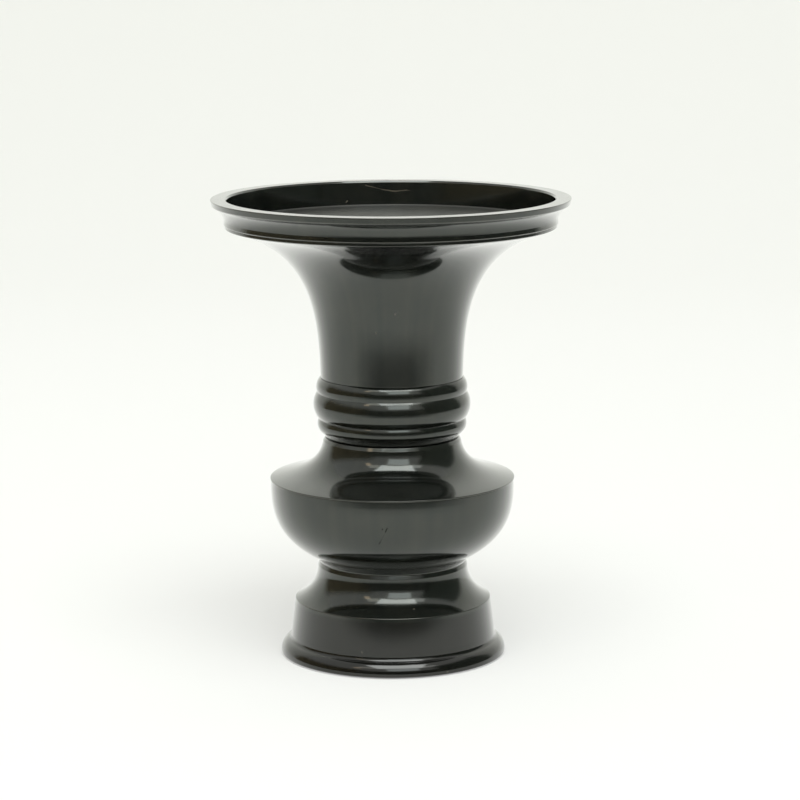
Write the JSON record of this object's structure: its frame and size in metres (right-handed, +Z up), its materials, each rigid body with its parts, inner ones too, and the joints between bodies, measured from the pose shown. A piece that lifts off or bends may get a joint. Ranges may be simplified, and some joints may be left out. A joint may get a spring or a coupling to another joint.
{
  "type": "altar flower vase",
  "caption": "Small turned vase with a wide flat mouth, trumpet neck, beaded waist, ridged belly and flared hollow foot, holding a lift-out water liner.",
  "frame": {"origin": "centre of the base, on the surface that the foot stands on", "axes": "+Z up along the axis of the turned pieces; the pieces are round, so X and Y are interchangeable"},
  "size_m": [0.0814, 0.0814, 0.105],
  "materials": {
    "black_brass": "semi-gloss black patina over turned brass",
    "liner_brass": "dull darkened brass"
  },
  "bodies": {
    "vase": {"foot": "black_brass", "belly_bowl": "black_brass", "shoulder": "black_brass", "waist_collar": "black_brass", "trumpet_neck": "black_brass", "mouth_rim": "black_brass"},
    "liner": {"liner_flange": "liner_brass", "liner_tube": "liner_brass", "liner_bottom": "liner_brass"}
  },
  "joints": [
    {"name": "liner_lift", "type": "slide", "parent": "vase", "child": "liner", "axis": [0, 0, 1], "range_m": [0, 0.078]}
  ]
}
